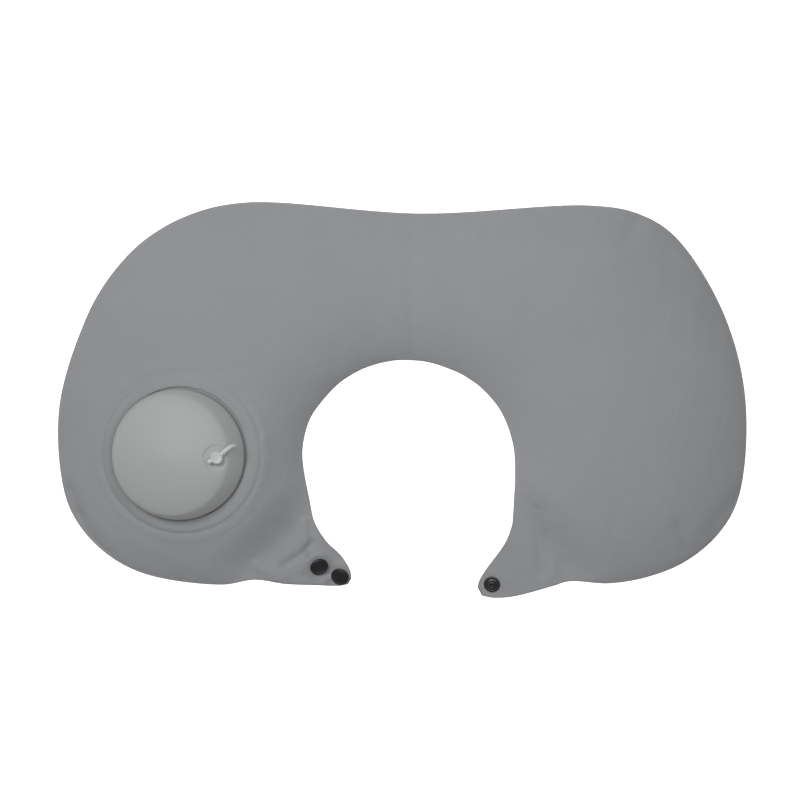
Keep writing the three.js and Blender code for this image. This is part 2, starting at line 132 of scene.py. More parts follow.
SECTIONS = tuple(Section(*row) for row in (
    (-34.7, -123.8, -37.4, -128.2),
    (-35.4, -118.5, -43.0, -129.5),
    (-41.5, -108.4, -60.0, -128.6),
    (-52.0, -97.8, -80.0, -127.5),
    (-60.0, -84.5, -101.0, -124.4),
    (-63.0, -71.5, -124.0, -127.8),
    (-68.3, -40.0, -174.0, -121.2),
    (-67.2, -27.0, -199.0, -109.6),
    (-63.2, -13.8, -219.5, -90.5),
    (-57.0, -4.0, -232.0, -65.8),
    (-43.0, 11.1, -236.2, -6.5),
    (-29.0, 19.9, -219.0, 52.7),
    (-22.0, 22.8, -202.5, 82.9),
    (-15.0, 24.9, -178.0, 109.4),
    (-8.5, 26.2, -146.0, 127.5),
    (-2.0, 27.0, -107.0, 135.9),
    (18.0, 25.7, 13.0, 128.3),
    (40.0, 18.0, 130.0, 133.8),
    (47.5, 13.5, 162.0, 128.6),
    (55.0, 7.9, 188.0, 113.1),
    (68.5, -8.2, 221.5, 60.9),
    (77.0, -31.5, 237.2, 0.0),
    (78.3, -53.0, 232.6, -67.2),
    (78.0, -61.0, 218.5, -92.8),
    (77.6, -68.0, 196.0, -111.7),
    (77.2, -75.0, 170.0, -122.4),
    (76.8, -81.0, 143.0, -126.9),
    (76.2, -86.5, 115.5, -125.5),
    (71.6, -98.8, 104.0, -128.9),
    (58.0, -118.3, 77.0, -136.4),
    (53.8, -125.6, 63.0, -137.4),
    (52.7, -130.0, 56.0, -136.0),
))
LEFT_WELD = 4
RIGHT_WELD = 27

FOLDS = tuple(Fold(*row) for row in (
    (-66.5, -84, -66.5, -98, 2.6, 1.5),
    (-62, -99, -68, -108, 2.4, -1.1),
    (-68, -106, -81, -114.5, 2.8, -1.4),
    (-99, -115, -83, -123, 4.0, 1.6),
    (-69, -109, -69, -118, 2.2, 0.9),
    (-228, -61, -222, -78, 4.0, -2.2),
    (-221, -80, -209, -97, 4.0, -1.8),
    (-207, -101, -199, -106, 3.5, -1.5),
    (163, 124, 153, 109, 5.0, -1.3),
    (206, 86, 191, 99, 4.0, 1.2),
    (7, 125, 7, 31, 5.0, -0.9),
    (94, -76, 97, -119, 4.0, -1.2),
    (102, -84, 105, -120, 4.0, 0.9),
    (228, -69, 214, -88, 6.0, -1.6),
    (189, -86, 195, -102, 4.0, -1.2),
))

STRAP_PATH = tuple(StrapPoint(*row) for row in (
    (2.0, 41, 2.9),
    (6.0, 41, 3.3),
    (10.0, 41, 3.4),
    (12.6, 39.5, 2.9),
    (14.3, 36, 1.6),
    (15.2, 32.5, 0.0),
    (15.8, 29.5, -1.9),
))

SNAP_SEATS = tuple(SnapSeat(*row) for row in (
    (-57.4, -114.7, 24, -63, True),
    (-42.0, -122.0, 20, 219, True),
    (62.7, -127.5, 6, -120, False),
))


def smooth(share: np.ndarray) -> np.ndarray:
    """A soft step from 0 to 1 as share goes from 0 to 1."""
    held = np.clip(share, 0.0, 1.0)
    return held * held * (3 - 2 * held)


def curve_through(points: np.ndarray, at: np.ndarray) -> np.ndarray:
    """Places on the centripetal Catmull-Rom curve through some points.

    Args:
        points: The points, a row each.
        at: Where to read the curve: 0 is the first point, 1 the second, and so on.

    Returns:
        A place for each value of at.
    """
    ended = np.vstack([2 * points[0] - points[1], points, 2 * points[-1] - points[-2]])
    gap = np.minimum(at.astype(int), len(points) - 2)
    share = (at - gap)[:, None]
    p0, p1, p2, p3 = (ended[gap + step] for step in range(4))
    t0, t1, t2 = (
        np.sqrt(np.linalg.norm(b - a, axis=1))[:, None] for a, b in ((p0, p1), (p1, p2), (p2, p3))
    )
    leave = t1 * ((p1 - p0) / t0 - (p2 - p0) / (t0 + t1) + (p2 - p1) / t1)
    reach = t1 * ((p2 - p1) / t1 - (p3 - p1) / (t1 + t2) + (p3 - p2) / t2)
    bend = 3 * (p2 - p1) - 2 * leave - reach
    twist = 2 * (p1 - p2) + leave + reach
    return p1 + share * leave + share**2 * bend + share**3 * twist


def grid_quads(rows: int, columns: int, ring: bool = False) -> np.ndarray:
    """Quads of a grid of points, numbered row by row.

    Args:
        rows: The number of rows.
        columns: The number of points in a row.
        ring: Whether each row closes on itself.

    Returns:
        Four point numbers for each quad.
    """
    across = columns if ring else columns - 1
    row, step = np.meshgrid(np.arange(rows - 1), np.arange(across), indexing="ij")
    near = row * columns + step
    beside = row * columns + (step + 1) % columns
    return np.stack([near, beside, beside + columns, near + columns], axis=-1).reshape(-1, 4)


def make_piece(name: str, places: np.ndarray, faces: Sequence, uv: np.ndarray | None = None) -> bpy.types.Object:
    """Makes a smooth-shaded mesh object from places in metres in the row frame.

    Args:
        name: The piece's name.
        places: A row of three numbers for each point.
        faces: The point numbers of each face.
        uv: Where each point lies on the cut cloth, in metres, or None.

    Returns:
        The object, at the origin and linked to the scene.
    """
    mesh = bpy.data.meshes.new(name)
    mesh.from_pydata(places.tolist(), [], [list(map(int, face)) for face in faces])
    mesh.validate()
    mesh.shade_smooth()
    if uv is not None:
        corner = np.zeros(len(mesh.loops), np.int32)
        mesh.loops.foreach_get("vertex_index", corner)
        layer = mesh.uv_layers.new(name="cut")
        layer.data.foreach_set("uv", uv[corner].astype(np.float32).ravel())
    piece = bpy.data.objects.new(name, mesh)
    bpy.context.scene.collection.objects.link(piece)
    return piece


def turned(profile: np.ndarray, steps: int) -> tuple[np.ndarray, list]:
    """Turns a profile that starts and ends on the axis about Z.

    Args:
        profile: Rows of radius and height, the first and last on the axis.
        steps: The number of steps round the axis.

    Returns:
        The points and the faces, turned outwards where the profile runs from the top down.
    """
    turn = np.arange(steps) * 2 * math.pi / steps
    ring = np.stack([np.cos(turn), np.sin(turn)], axis=-1)
    between = profile[1:-1]
    places = np.concatenate([
        between[:, None, :1] * ring[None, :, :],
        np.broadcast_to(between[:, None, 1:], (len(between), steps, 1)),
    ], axis=-1).reshape(-1, 3)
    poles = np.array([[0, 0, profile[0, 1]], [0, 0, profile[-1, 1]]])
    top, bottom = len(places), len(places) + 1
    quads = grid_quads(len(between), steps, ring=True)[:, ::-1].tolist()
    last = (len(between) - 1) * steps
    caps = [[top, step, (step + 1) % steps] for step in range(steps)]
    caps += [[bottom, last + (step + 1) % steps, last + step] for step in range(steps)]
    return np.vstack([places, poles]), quads + caps


def rounded_open(profile: Sequence[tuple[float, float]], per_gap: int) -> np.ndarray:
    """A finer profile through the same points, open at both ends."""
    points = np.array(profile, float)
    at = np.linspace(0, len(points) - 1, (len(points) - 1) * per_gap + 1)
    return curve_through(points, at)


def rounded(profile: Sequence[tuple[float, float]], per_gap: int) -> np.ndarray:
    """A finer profile through the same points, for a moulded piece with soft corners."""
    fine = rounded_open(profile, per_gap)
    fine[:, 0] = np.maximum(fine[:, 0], 0)
    fine[[0, -1], 0] = 0
    return fine


def stand(piece: bpy.types.Object, slot: Slot, *nodes: str) -> None:
    """Rides a finished piece on the pillow in place of its CAD nodes."""
    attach(piece, ROOT)
    if nodes:
        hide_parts(*nodes)


def dressed(name: str, solid: tuple[np.ndarray, Sequence], finish: bpy.types.Material, slot: Slot, *nodes: str,
            uv: np.ndarray | None = None) -> bpy.types.Object:
    """Makes a piece, gives it its finish and rides it on the pillow.

    Args:
        name: The piece's name.
        solid: Its points in the row frame, in metres, and its faces.
        finish: Its material.
        slot: Its material slot. It is not used.
        nodes: The CAD nodes that it stands in for.
        uv: Where each point lies on the cut cloth, in metres, or None.

    Returns:
        The piece.
    """
    piece = make_piece(name, *solid, uv)
    piece.data.materials.append(finish)
    stand(piece, slot, *nodes)
    return piece


@dataclass(frozen=True)
class Axis:
    """A turned CAD node's middle line: its foot, its direction and two sides square to it, in metres."""

    foot: np.ndarray
    along: np.ndarray
    side: np.ndarray
    other: np.ndarray

    @classmethod
    def of_node(cls, name: str, up: int) -> "Axis":
        """Reads the middle line of a node that is round about one axis.

        Args:
            name: The CAD node's name.
            up: 1 where the node stands up from its foot, -1 where it hangs down.

        Returns:
            The axis, with its foot at the node's lowest point along it.
        """
        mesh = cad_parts[name].data
        places = np.zeros(len(mesh.vertices) * 3)
        mesh.vertices.foreach_get("co", places)
        places = np.unique(places.reshape(-1, 3).round(7), axis=0)
        middle = places.mean(0)
        spread, ways = np.linalg.eigh(np.cov((places - middle).T))
        odd = 0 if spread[1] - spread[0] > spread[2] - spread[1] else 2
        along = ways[:, odd] * np.sign(ways[2, odd]) * up
        foot = middle + along * ((places - middle) @ along).min()
        side = np.cross([0.0, 1.0, 0.0], along)
        side /= np.linalg.norm(side)
        return cls(foot, along, side, np.cross(along, side))

    def place(self, points: np.ndarray) -> np.ndarray:
        """Puts points in millimetres about the axis into the row frame, in metres."""
        return self.foot + MM * (
            points[:, :1] * self.side + points[:, 1:2] * self.other + points[:, 2:] * self.along
        )


class NodeWriter:
    """Adds nodes to a tree and links them in reading order."""

    def __init__(self, tree: bpy.types.NodeTree) -> None:
        """Starts on a tree."""
        self.tree = tree

    def node(self, kind: str, **settings: object) -> bpy.types.Node:
        """Adds a node and sets its properties."""
        made = self.tree.nodes.new(kind)
        for key, value in settings.items():
            setattr(made, key, value)
        return made

    def feed(self, socket: bpy.types.NodeSocket, value: object) -> None:
        """Links an output to a socket, or sets the socket to a value."""
        if isinstance(value, bpy.types.NodeSocket):
            self.tree.links.new(value, socket)
        else:
            socket.default_value = value

    def maths(self, how: str, *values: object, clamp: bool = False) -> bpy.types.NodeSocket:
        """A Math node on some values or outputs."""
        made = self.node("ShaderNodeMath", operation=how, use_clamp=clamp)
        for socket, value in zip(made.inputs, values):
            self.feed(socket, value)
        return made.outputs[0]


class Dresser(NodeWriter):
    """Builds a material round its Principled shader."""

    def __init__(self, name: str) -> None:
        """Starts a material with an empty Principled shader."""
        self.material = bpy.data.materials.new(name)
        self.material.use_nodes = True
        super().__init__(self.material.node_tree)
        self.shader = self.tree.nodes["Principled BSDF"]

    def coat(self, name: str, value: object) -> None:
        """Links an output to one of the shader's sockets, or sets the socket to a value."""
        self.feed(self.shader.inputs[name], value)

    def places(self, scale: tuple[float, float, float] = (1, 1, 1), turn: float = 0.0) -> bpy.types.NodeSocket:
        """Object coordinates, turned about Z and then scaled."""
        source = self.node("ShaderNodeTexCoord").outputs["Object"]
        mapping = self.node("ShaderNodeMapping", vector_type="POINT")
        mapping.inputs["Rotation"].default_value = (0, 0, turn)
        self.feed(mapping.inputs["Vector"], source)
        stretch = self.node("ShaderNodeVectorMath", operation="MULTIPLY")
        self.feed(stretch.inputs[0], mapping.outputs[0])
        stretch.inputs[1].default_value = scale
        return stretch.outputs[0]

    def noise(self, vector: bpy.types.NodeSocket, scale: float, detail: float = 2.0,
              rough: float = 0.5, distort: float = 0.0) -> bpy.types.NodeSocket:
        """The grey value of a Noise Texture."""
        made = self.node("ShaderNodeTexNoise", noise_dimensions="3D")
        self.feed(made.inputs["Vector"], vector)
        for key, value in (("Scale", scale), ("Detail", detail), ("Roughness", rough), ("Distortion", distort)):
            made.inputs[key].default_value = value
        return made.outputs["Fac"]

    def tinted(self, share: bpy.types.NodeSocket, dark: tuple, light: tuple) -> bpy.types.NodeSocket:
        """A colour between two, by a share from 0 to 1."""
        ramp = self.node("ShaderNodeMix", data_type="RGBA", clamp_factor=True)
        self.feed(ramp.inputs["Factor"], share)
        ramp.inputs["A"].default_value = (*dark, 1)
        ramp.inputs["B"].default_value = (*light, 1)
        return ramp.outputs["Result"]

    def bump(self, height: bpy.types.NodeSocket, depth: float,
             under: bpy.types.NodeSocket | None = None) -> bpy.types.NodeSocket:
        """A bump of a depth in metres, over another one where that is given."""
        made = self.node("ShaderNodeBump")
        made.inputs["Strength"].default_value = 1.0
        made.inputs["Distance"].default_value = depth
        self.feed(made.inputs["Height"], height)
        if under is not None:
            self.feed(made.inputs["Normal"], under)
        return made.outputs["Normal"]


@dataclass(frozen=True)
class PillowCloth:
    """Fine grey plain-weave cloth, matt, with faint mottling, slack wrinkles and a soft bloom."""

    tone: tuple = (0.251, 0.255, 0.264)
    mottle: float = 0.035
    thread: float = 0.00042
    weave_depth: float = 0.00003

    def material(self) -> bpy.types.Material:
        """The cloth's material. Its weave follows the cut panels' own map."""
        dress = Dresser("pillow_cloth")
        grain = dress.noise(dress.places(), 38.0, 4.0, 0.6)
        cloud = dress.noise(dress.places(), 9.0, 2.0, 0.5)
        share = dress.maths("ADD", dress.maths("MULTIPLY", grain, 0.45), dress.maths("MULTIPLY", cloud, 0.55))
        dark = tuple(value * (1 - self.mottle) for value in self.tone)
        light = tuple(value * (1 + self.mottle) for value in self.tone)
        wide = dress.maths("MULTIPLY_ADD", share, 2.2, -0.6, clamp=True)
        dress.coat("Base Color", dress.tinted(wide, dark, light))
        dress.coat("Roughness", dress.maths("MULTIPLY_ADD", grain, 0.12, 0.8))
        dress.coat("Specular IOR Level", 0.25)
        dress.coat("Sheen Weight", 0.12)
        dress.coat("Sheen Roughness", 0.45)
        normal = dress.bump(self.wrinkles(dress), 0.0016)
        dress.coat("Normal", dress.bump(self.weave(dress), self.weave_depth, normal))
        return dress.material

    def wrinkles(self, dress: Dresser) -> bpy.types.NodeSocket:
        """Long faint wrinkles that cross at two angles, as slack cloth has."""
        one = dress.noise(dress.places((1.0, 3.2, 1.0), 0.6), 26.0, 3.0, 0.55, 0.4)
        two = dress.noise(dress.places((3.0, 1.0, 1.0), 0.25), 21.0, 3.0, 0.55, 0.3)
        return dress.maths("ADD", dress.maths("MULTIPLY", one, 0.5), dress.maths("MULTIPLY", two, 0.5))

    def weave(self, dress: Dresser) -> bpy.types.NodeSocket:
        """Warp and weft that pass over and under each other, on the panels' map."""
        cut = dress.node("ShaderNodeUVMap", uv_map="cut").outputs["UV"]
        axes = dress.node("ShaderNodeSeparateXYZ")
        dress.feed(axes.inputs[0], cut)
        waves = []
        for axis in (0, 1):
            turns = dress.maths("MULTIPLY", axes.outputs[axis], math.pi / self.thread)
            waves.append(dress.maths("SINE", turns))
        over = dress.maths("MULTIPLY", waves[0], waves[1])
        return dress.maths("MULTIPLY_ADD", over, 0.5, 0.5)


@dataclass(frozen=True)
class PumpSkin:
    """The dome's smooth coated skin: paler than the cloth, with a dull wide gloss."""

    tone: tuple = (0.325, 0.336, 0.329)

    def material(self) -> bpy.types.Material:
        """The skin's material."""
        dress = Dresser("pump_skin")
        cloud = dress.noise(dress.places(), 30.0, 3.0, 0.5)
        dark = tuple(value * 0.985 for value in self.tone)
        light = tuple(value * 1.015 for value in self.tone)
        dress.coat("Base Color", dress.tinted(cloud, dark, light))
        fine = dress.noise(dress.places(), 1800.0, 2.0, 0.5)
        dress.coat("Roughness", dress.maths("MULTIPLY_ADD", fine, 0.1, 0.55))
        dress.coat("Specular IOR Level", 0.3)
        soft = dress.bump(cloud, 0.0003)
        dress.coat("Normal", dress.bump(fine, 0.000015, soft))
        return dress.material


@dataclass(frozen=True)
class ValvePlastic:
    """Soft milky plastic that lets a little light in."""

    tone: tuple = (0.45, 0.46, 0.465)

    def material(self) -> bpy.types.Material:
        """The valve's material."""
        dress = Dresser("valve_plastic")
        cloud = dress.noise(dress.places(), 160.0, 2.0, 0.5)
        dark = tuple(value * 0.94 for value in self.tone)
        dress.coat("Base Color", dress.tinted(cloud, dark, self.tone))
        fine = dress.noise(dress.places(), 2600.0, 2.0, 0.5)
        dress.coat("Roughness", dress.maths("MULTIPLY_ADD", fine, 0.1, 0.32))
        dress.coat("Subsurface Weight", 0.25)
        dress.coat("Subsurface Radius", (1.0, 1.0, 1.0))
        dress.coat("Subsurface Scale", 0.0012)
        dress.coat("Normal", dress.bump(fine, 0.00001))
        return dress.material


@dataclass(frozen=True)
class SnapPlastic:
    """Satin black moulded plastic, with a fine spark-eroded grain and faint handling marks."""

    tone: tuple = (0.009, 0.009, 0.0105)

    def material(self) -> bpy.types.Material:
        """The snaps' material."""
        dress = Dresser("snap_plastic")
        marks = dress.noise(dress.places((1, 4, 1), 0.5), 420.0, 3.0, 0.6)
        light = tuple(value * 1.6 for value in self.tone)
        dress.coat("Base Color", dress.tinted(marks, self.tone, light))
        grain = dress.noise(dress.places(), 5200.0, 2.0, 0.5)
        dress.coat("Roughness", dress.maths("MULTIPLY_ADD", marks, 0.25, 0.3))
        dress.coat("Normal", dress.bump(grain, 0.000012))
        return dress.material


@dataclass(frozen=True)
class PumpPlate:
    """The sloping plate on the left lobe that carries the pump and the ring of cloth round it."""

    x: float = -149.3
    y: float = -36.4
    pad: float = 17.8
    climb_x: float = 0.1
    climb_y: float = 0.06
    radius: float = 57.0
    cloth_half: float = 0.8

    def height(self, flat: np.ndarray) -> np.ndarray:
        """The plate's height over the seam at each place."""
        return self.pad + self.climb_x * (flat[..., 0] - self.x) + self.climb_y * (flat[..., 1] - self.y)

    def under(self, flat: np.ndarray) -> np.ndarray:
        """Whether each place lies over the plate."""
        return np.hypot(flat[..., 0] - self.x, flat[..., 1] - self.y) < self.radius

    def axis(self, shift: np.ndarray, lift: float) -> Axis:
        """The pump's middle line in the row frame.

        Args:
            shift: The step from the table's frame to the row frame, in millimetres.
            lift: How far the line's foot stands over the cloth.

        Returns:
            The line, square to the plate.
        """
        normal = Vector((-self.climb_x, -self.climb_y, 1)).normalized()
        turn = Vector((0, 0, 1)).rotation_difference(normal)
        side, other, along = (np.array(turn @ Vector(way)) for way in ((1, 0, 0), (0, 1, 0), (0, 0, 1)))
        foot = shift + (self.x, self.y, self.pad + self.cloth_half) + along * lift
        return Axis(foot * MM, along, side, other)


@dataclass
class PillowBody:
    """The cloth body: face and back panels, their shared seam, the tabs and the main folds."""

    cloth_edge: float = 1.6
    crown: float = 23.0
    crown_power: float = 0.65
    rest_depth: float = 20.5
    rest_round: float = 0.5
    rib_steps: int = 76
    chamber_pitch: float = 3.0
    tab_pitch: float = 1.05
    bead_out: tuple = (0.3, 0.55, 0.5, 0.12, 0.5, 0.55, 0.3)
    bead_rise: tuple = (0.9, 0.6, 0.22, 0.0, -0.22, -0.6, -0.9)
    plate: PumpPlate = PumpPlate()
    weld_fade: float = 34.0
    fold_carry: float = 4.0
    tab_reach: float = 52.0
    tab_drops: tuple = (6.0, 5.0)
    tab_twists: tuple = (-0.1, 0.0)
    twist_start: float = 0.45
    twist_run: float = 0.4
    seat_radius: float = 6.4
    seat_fade: float = 6.0
    fold_start: float = 1.2
    pucker_start: float = 2.0
    tab_slack: float = 0.25
    rim_run: float = 3000.0
    cut_step: float = 0.25

    def build(self, cloth: bpy.types.Material) -> bpy.types.Object:
        """Builds the body as one closed mesh.

        Args:
            cloth: The cloth's material.

        Returns:
            The body, riding on the frame in place of its CAD node.
        """
        self.lay_out()
        free = self.membrane(self.pinned(plate=None))
        fullest = free.max()
        level = fullest * (self.plate.height(self.flat) / self.crown).clip(0) ** (1 / self.crown_power)
        raised = self.membrane(self.pinned(plate=level))
        face = self.crown * np.maximum(raised / fullest, 0) ** self.crown_power * self.weld_share
        back = self.crown * np.maximum(free / fullest, 0) ** self.crown_power * self.weld_share
        body = self.mesh(face, back)
        body = self.pucker(body, cloth)
        stand(body, Slot.CLOTH, "pillow_body")
        return body

    def lay_out(self) -> None:
        """Lays the panels' shared grid of points out flat: stations along the U, each with its rib."""
        rows = np.array(SECTIONS)
        gaps = len(rows) - 1
        at = [0.0]
        for gap in range(gaps):
            ends = curve_through(rows[:, 2:], np.array([gap, gap + 1.0]))
            length = np.linalg.norm(ends[1] - ends[0])
            fine = gap <= LEFT_WELD or gap >= RIGHT_WELD - 1
            steps = max(3, round(length / (self.tab_pitch if fine else self.chamber_pitch)))
            at.extend(gap + (step + 1) / steps for step in range(steps))
        self.station = np.array(at)
        neck = curve_through(rows[:, :2], self.station)
        rim = curve_through(rows[:, 2:], self.station)
        inset = max(self.bead_out)
        neck += inset * self.outward(neck, rim)
        rim += inset * self.outward(rim, neck)
        turn = np.pi * np.arange(self.rib_steps + 1) / self.rib_steps
        self.share = (1 - np.cos(turn)) / 2
        self.flat = neck[:, None] + self.share[None, :, None] * (rim - neck)[:, None]
        self.on_tab = (self.station <= LEFT_WELD) | (self.station >= RIGHT_WELD)
        self.run = np.stack([self.along(neck), self.along(rim)])
        self.middle = self.tab_height() + self.seat_height()
        self.fold = self.fold_height()
        self.weld_share = self.share_off_welds()
        self.over_plate = self.plate.under(self.flat)

    @staticmethod
    def along(line: np.ndarray) -> np.ndarray:
        """The distance along a line of points, from its start."""
        return np.concatenate([[0], np.cumsum(np.linalg.norm(np.diff(line, axis=0), axis=1))])

    @staticmethod
    def outward(edge: np.ndarray, inside: np.ndarray) -> np.ndarray:
        """Unit vectors square to an edge, on the side where the panel's inside lies."""
        way = np.gradient(edge, axis=0)
        side = np.stack([-way[:, 1], way[:, 0]], axis=-1)
        side /= np.linalg.norm(side, axis=1)[:, None]
        return side * np.sign((side * (inside - edge)).sum(1))[:, None]

    def tab_height(self) -> np.ndarray:
        """How far the middle of the cloth lies off the seam's plane on the drooping tabs."""
        height = np.zeros(self.flat.shape[:2])
        tabs = (
            (SECTIONS[LEFT_WELD], SECTIONS[0], self.station <= LEFT_WELD),
            (SECTIONS[RIGHT_WELD], SECTIONS[-1], self.station >= RIGHT_WELD),
        )
        for (weld, tip, mine), drop, twist in zip(tabs, self.tab_drops, self.tab_twists):
            along = np.array([weld.neck_x - weld.rim_x, weld.neck_y - weld.rim_y])
            along /= np.linalg.norm(along)
            square = np.array([along[1], -along[0]])
            to_tip = np.array([tip.neck_x - weld.neck_x, tip.neck_y - weld.neck_y])
            square *= np.sign(square @ to_tip)
            out = (self.flat - (weld.neck_x, weld.neck_y)) @ square / self.tab_reach
            across = (self.flat - (tip.neck_x, tip.neck_y)) @ along
            lean = twist * across * smooth((out - self.twist_start) / self.twist_run)
            height[mine] = (-drop * smooth(out) - lean)[mine]
        return height

    def seat_height(self) -> np.ndarray:
        """How far the tabs' cloth rocks up or down round the snaps."""
        height = np.zeros(self.flat.shape[:2])
        for seat in SNAP_SEATS:
            way = self.flat - (seat.x, seat.y)
            share = 1 - smooth((np.linalg.norm(way, axis=-1) - self.seat_radius) / self.seat_fade)
            toward = math.radians(seat.toward)
            down = way @ (math.cos(toward), math.sin(toward))
            mine = self.station <= LEFT_WELD if seat.on_left else self.station >= RIGHT_WELD
            height[mine] -= (math.tan(math.radians(seat.rock)) * down * share)[mine]
        return height

    def distance_to(self, from_x: float, from_y: float, to_x: float, to_y: float) -> np.ndarray:
        """Each point's distance to a straight line between two places."""
        start = np.array([from_x, from_y])
        way = np.array([to_x, to_y]) - start
        share = np.clip((self.flat - start) @ way / (way @ way), 0, 1)
        return np.linalg.norm(self.flat - start - share[..., None] * way, axis=-1)

    def fold_height(self) -> np.ndarray:
        """The rise of all the folds at each point, none of it on the seam."""
        height = np.zeros(self.flat.shape[:2])
        for fold in FOLDS:
            away = self.distance_to(*fold[:4]) / fold.half_width
            height += fold.rise * np.exp(-(away**2))
        return height * self.off_seam(self.fold_start)

    def share_off_welds(self) -> np.ndarray:
        """The share of the air's rise that is left beside the tabs' welds, from 0 on a weld to 1."""
        return smooth(self.distance_to(*SECTIONS[LEFT_WELD]) / self.weld_fade) * smooth(
            self.distance_to(*SECTIONS[RIGHT_WELD]) / self.weld_fade)

    def seam_distance(self) -> np.ndarray:
        """Each point's distance along its rib to the nearer seam."""
        length = np.linalg.norm(self.flat[:, -1] - self.flat[:, 0], axis=1)
        return np.minimum(self.share, 1 - self.share)[None, :] * length[:, None]

    def off_seam(self, reach: float) -> np.ndarray:
        """A share that grows from 0 on the seam to 1 at a distance from it."""
        share = smooth(self.seam_distance() / reach)
        ends = np.minimum(self.along(self.flat[:, -1]), self.along(self.flat[::-1, -1])[::-1])
        return share * smooth(ends / reach)[:, None]

    def pinned(self, plate: np.ndarray | None) -> np.ndarray:
        """Where the panel is held: not a number where it is free, else the height that it is held at."""
        held = np.full(self.flat.shape[:2], np.nan)
        if plate is not None:
            held[self.over_plate] = plate[self.over_plate]
        held[self.on_tab] = 0
        held[:, [0, -1]] = 0
        return held

    def membrane(self, held: np.ndarray) -> np.ndarray:
        """Heights of a membrane under even pressure over the flat grid.

        Args:
            held: A height for each point that is held, and not a number for each free one.

        Returns:
            The height of each point. Each station's row is solved with the rows beside it.
        """
        rows, ribs = held.shape
        near, beside = self.flat[:-1, :-1], self.flat[:-1, 1:]
        far, far_beside = self.flat[1:, :-1], self.flat[1:, 1:]
        rib = np.zeros((rows, ribs - 1))
        run = np.zeros((rows - 1, ribs))
        cross = np.zeros((rows - 1, ribs - 1))
        load = np.zeros((rows, ribs))
        for corners, sides in (
            ((near, far, beside), (cross, rib[:-1], run[:, :-1])),
            ((far_beside, beside, far), (cross, rib[1:], run[:, 1:])),
        ):
            for turn in range(3):
                a, b, c = (corners[(turn + step) % 3] for step in range(3))
                to_b, to_c = b - a, c - a
                twice = np.abs(to_b[..., 0] * to_c[..., 1] - to_b[..., 1] * to_c[..., 0])
                sides[turn][...] += (to_b * to_c).sum(-1) / twice / 2
            for owner in ((slice(None, -1), slice(None, -1)), (slice(1, None), slice(1, None))):
                load[owner] += twice / 12
            load[:-1, 1:] += twice / 12
            load[1:, :-1] += twice / 12
        free = np.isnan(held)
        total = np.zeros((rows, ribs))
        total[:, :-1] += rib
        total[:, 1:] += rib
        total[:-1] += run
        total[1:] += run
        total[:-1, 1:] += cross
        total[1:, :-1] += cross
        want = np.where(free, load, np.nan_to_num(held))
        step = np.arange(ribs)
        carry = [None] * rows
        value = [None] * rows
        for row in range(rows):
            own = np.zeros((ribs, ribs))
            own[step, step] = total[row]
            own[step[:-1], step[1:]] = -rib[row]
            own[step[1:], step[:-1]] = -rib[row]
            own[~free[row]] = 0
            own[step[~free[row]], step[~free[row]]] = 1
            right = want[row]
            if row:
                down = self.link(run[row - 1], cross[row - 1]).T
                down[~free[row]] = 0
                own = own - down @ carry[row - 1]
                right = right - down @ value[row - 1]
            if row < rows - 1:
                up = self.link(run[row], cross[row])
                up[~free[row]] = 0
                solved = np.linalg.solve(own, np.column_stack([up, right]))
                carry[row], value[row] = solved[:, :-1], solved[:, -1]
            else:
                value[row] = np.linalg.solve(own, right)
        height = np.zeros((rows, ribs))
        height[-1] = value[-1]
        for row in range(rows - 2, -1, -1):
            height[row] = value[row] - carry[row] @ height[row + 1]
        return height

    @staticmethod
    def link(run: np.ndarray, cross: np.ndarray) -> np.ndarray:
        """How a station's points pull on the next station's."""
        ribs = len(run)
        step = np.arange(ribs)
        pull = np.zeros((ribs, ribs))
        pull[step, step] = -run
        pull[step[1:], step[:-1]] = -cross
        return pull

    def mesh(self, face: np.ndarray, back: np.ndarray) -> bpy.types.Object:
        """Joins both panels round the seam's bead into one closed mesh.

        Args:
            face: The face panel's rise over the seam at each point.
            back: The back panel's.

        Returns:
            The body in the row frame.
        """
        half = self.cloth_edge / 2
        fold = np.where(self.over_plate, 0, self.fold)
        top = self.middle + fold + half + face
        flat_share = 1 - smooth(back / self.fold_carry)
        under = self.middle + fold * flat_share - half - back
        deep = (under + self.rest_depth) / self.rest_round
        under = self.rest_round * np.logaddexp(0, np.minimum(deep, 50)) - self.rest_depth + np.maximum(
            deep - 50, 0) * self.rest_round
        rows, ribs = top.shape
        edge = self.edge_loop(rows, ribs)
        flat = self.flat.reshape(-1, 2)
        loop = flat[edge]
        way = np.roll(loop, -1, axis=0) - np.roll(loop, 1, axis=0)
        out = np.stack([way[:, 1], -way[:, 0]], axis=-1)
        out /= np.linalg.norm(out, axis=1)[:, None]
        middle = self.middle.reshape(-1)[edge]
        bead = [
            np.column_stack([loop + out * push, middle + rise * half])
            for push, rise in zip(self.bead_out, self.bead_rise)
        ]
        panels = [np.column_stack([flat, height.reshape(-1)]) for height in (top, under)]
        places = np.vstack([*panels, *bead])
        count = rows * ribs
        quads = grid_quads(rows, ribs)
        faces = [quads[:, ::-1], quads + count]
        rings = [edge, *(2 * count + np.arange(len(edge)) + level * len(edge)
                         for level in range(len(bead))), edge + count]
        for upper, lower in zip(rings, rings[1:]):
            faces.append(np.stack([upper, np.roll(upper, -1), np.roll(lower, -1), lower], axis=-1))
        cut = [self.cut_map(top), self.cut_map(under)]
        cut.extend(cut[0][edge] + out * step * self.cut_step for step in range(1, len(bead) + 1))
        self.shift = self.place(places)
        return make_piece("pillow_cover", (places + self.shift) * MM, np.vstack(faces), np.vstack(cut) * MM)

    def place(self, places: np.ndarray) -> np.ndarray:
        """The shift from the table's frame to the row frame, read from the CAD body's box."""
        low, high = (np.array(corner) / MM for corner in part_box("pillow_body"))
        middle = (places[:, :2].min(0) + places[:, :2].max(0)) / 2
        return np.array([*((low + high)[:2] / 2 - middle), self.rest_depth])

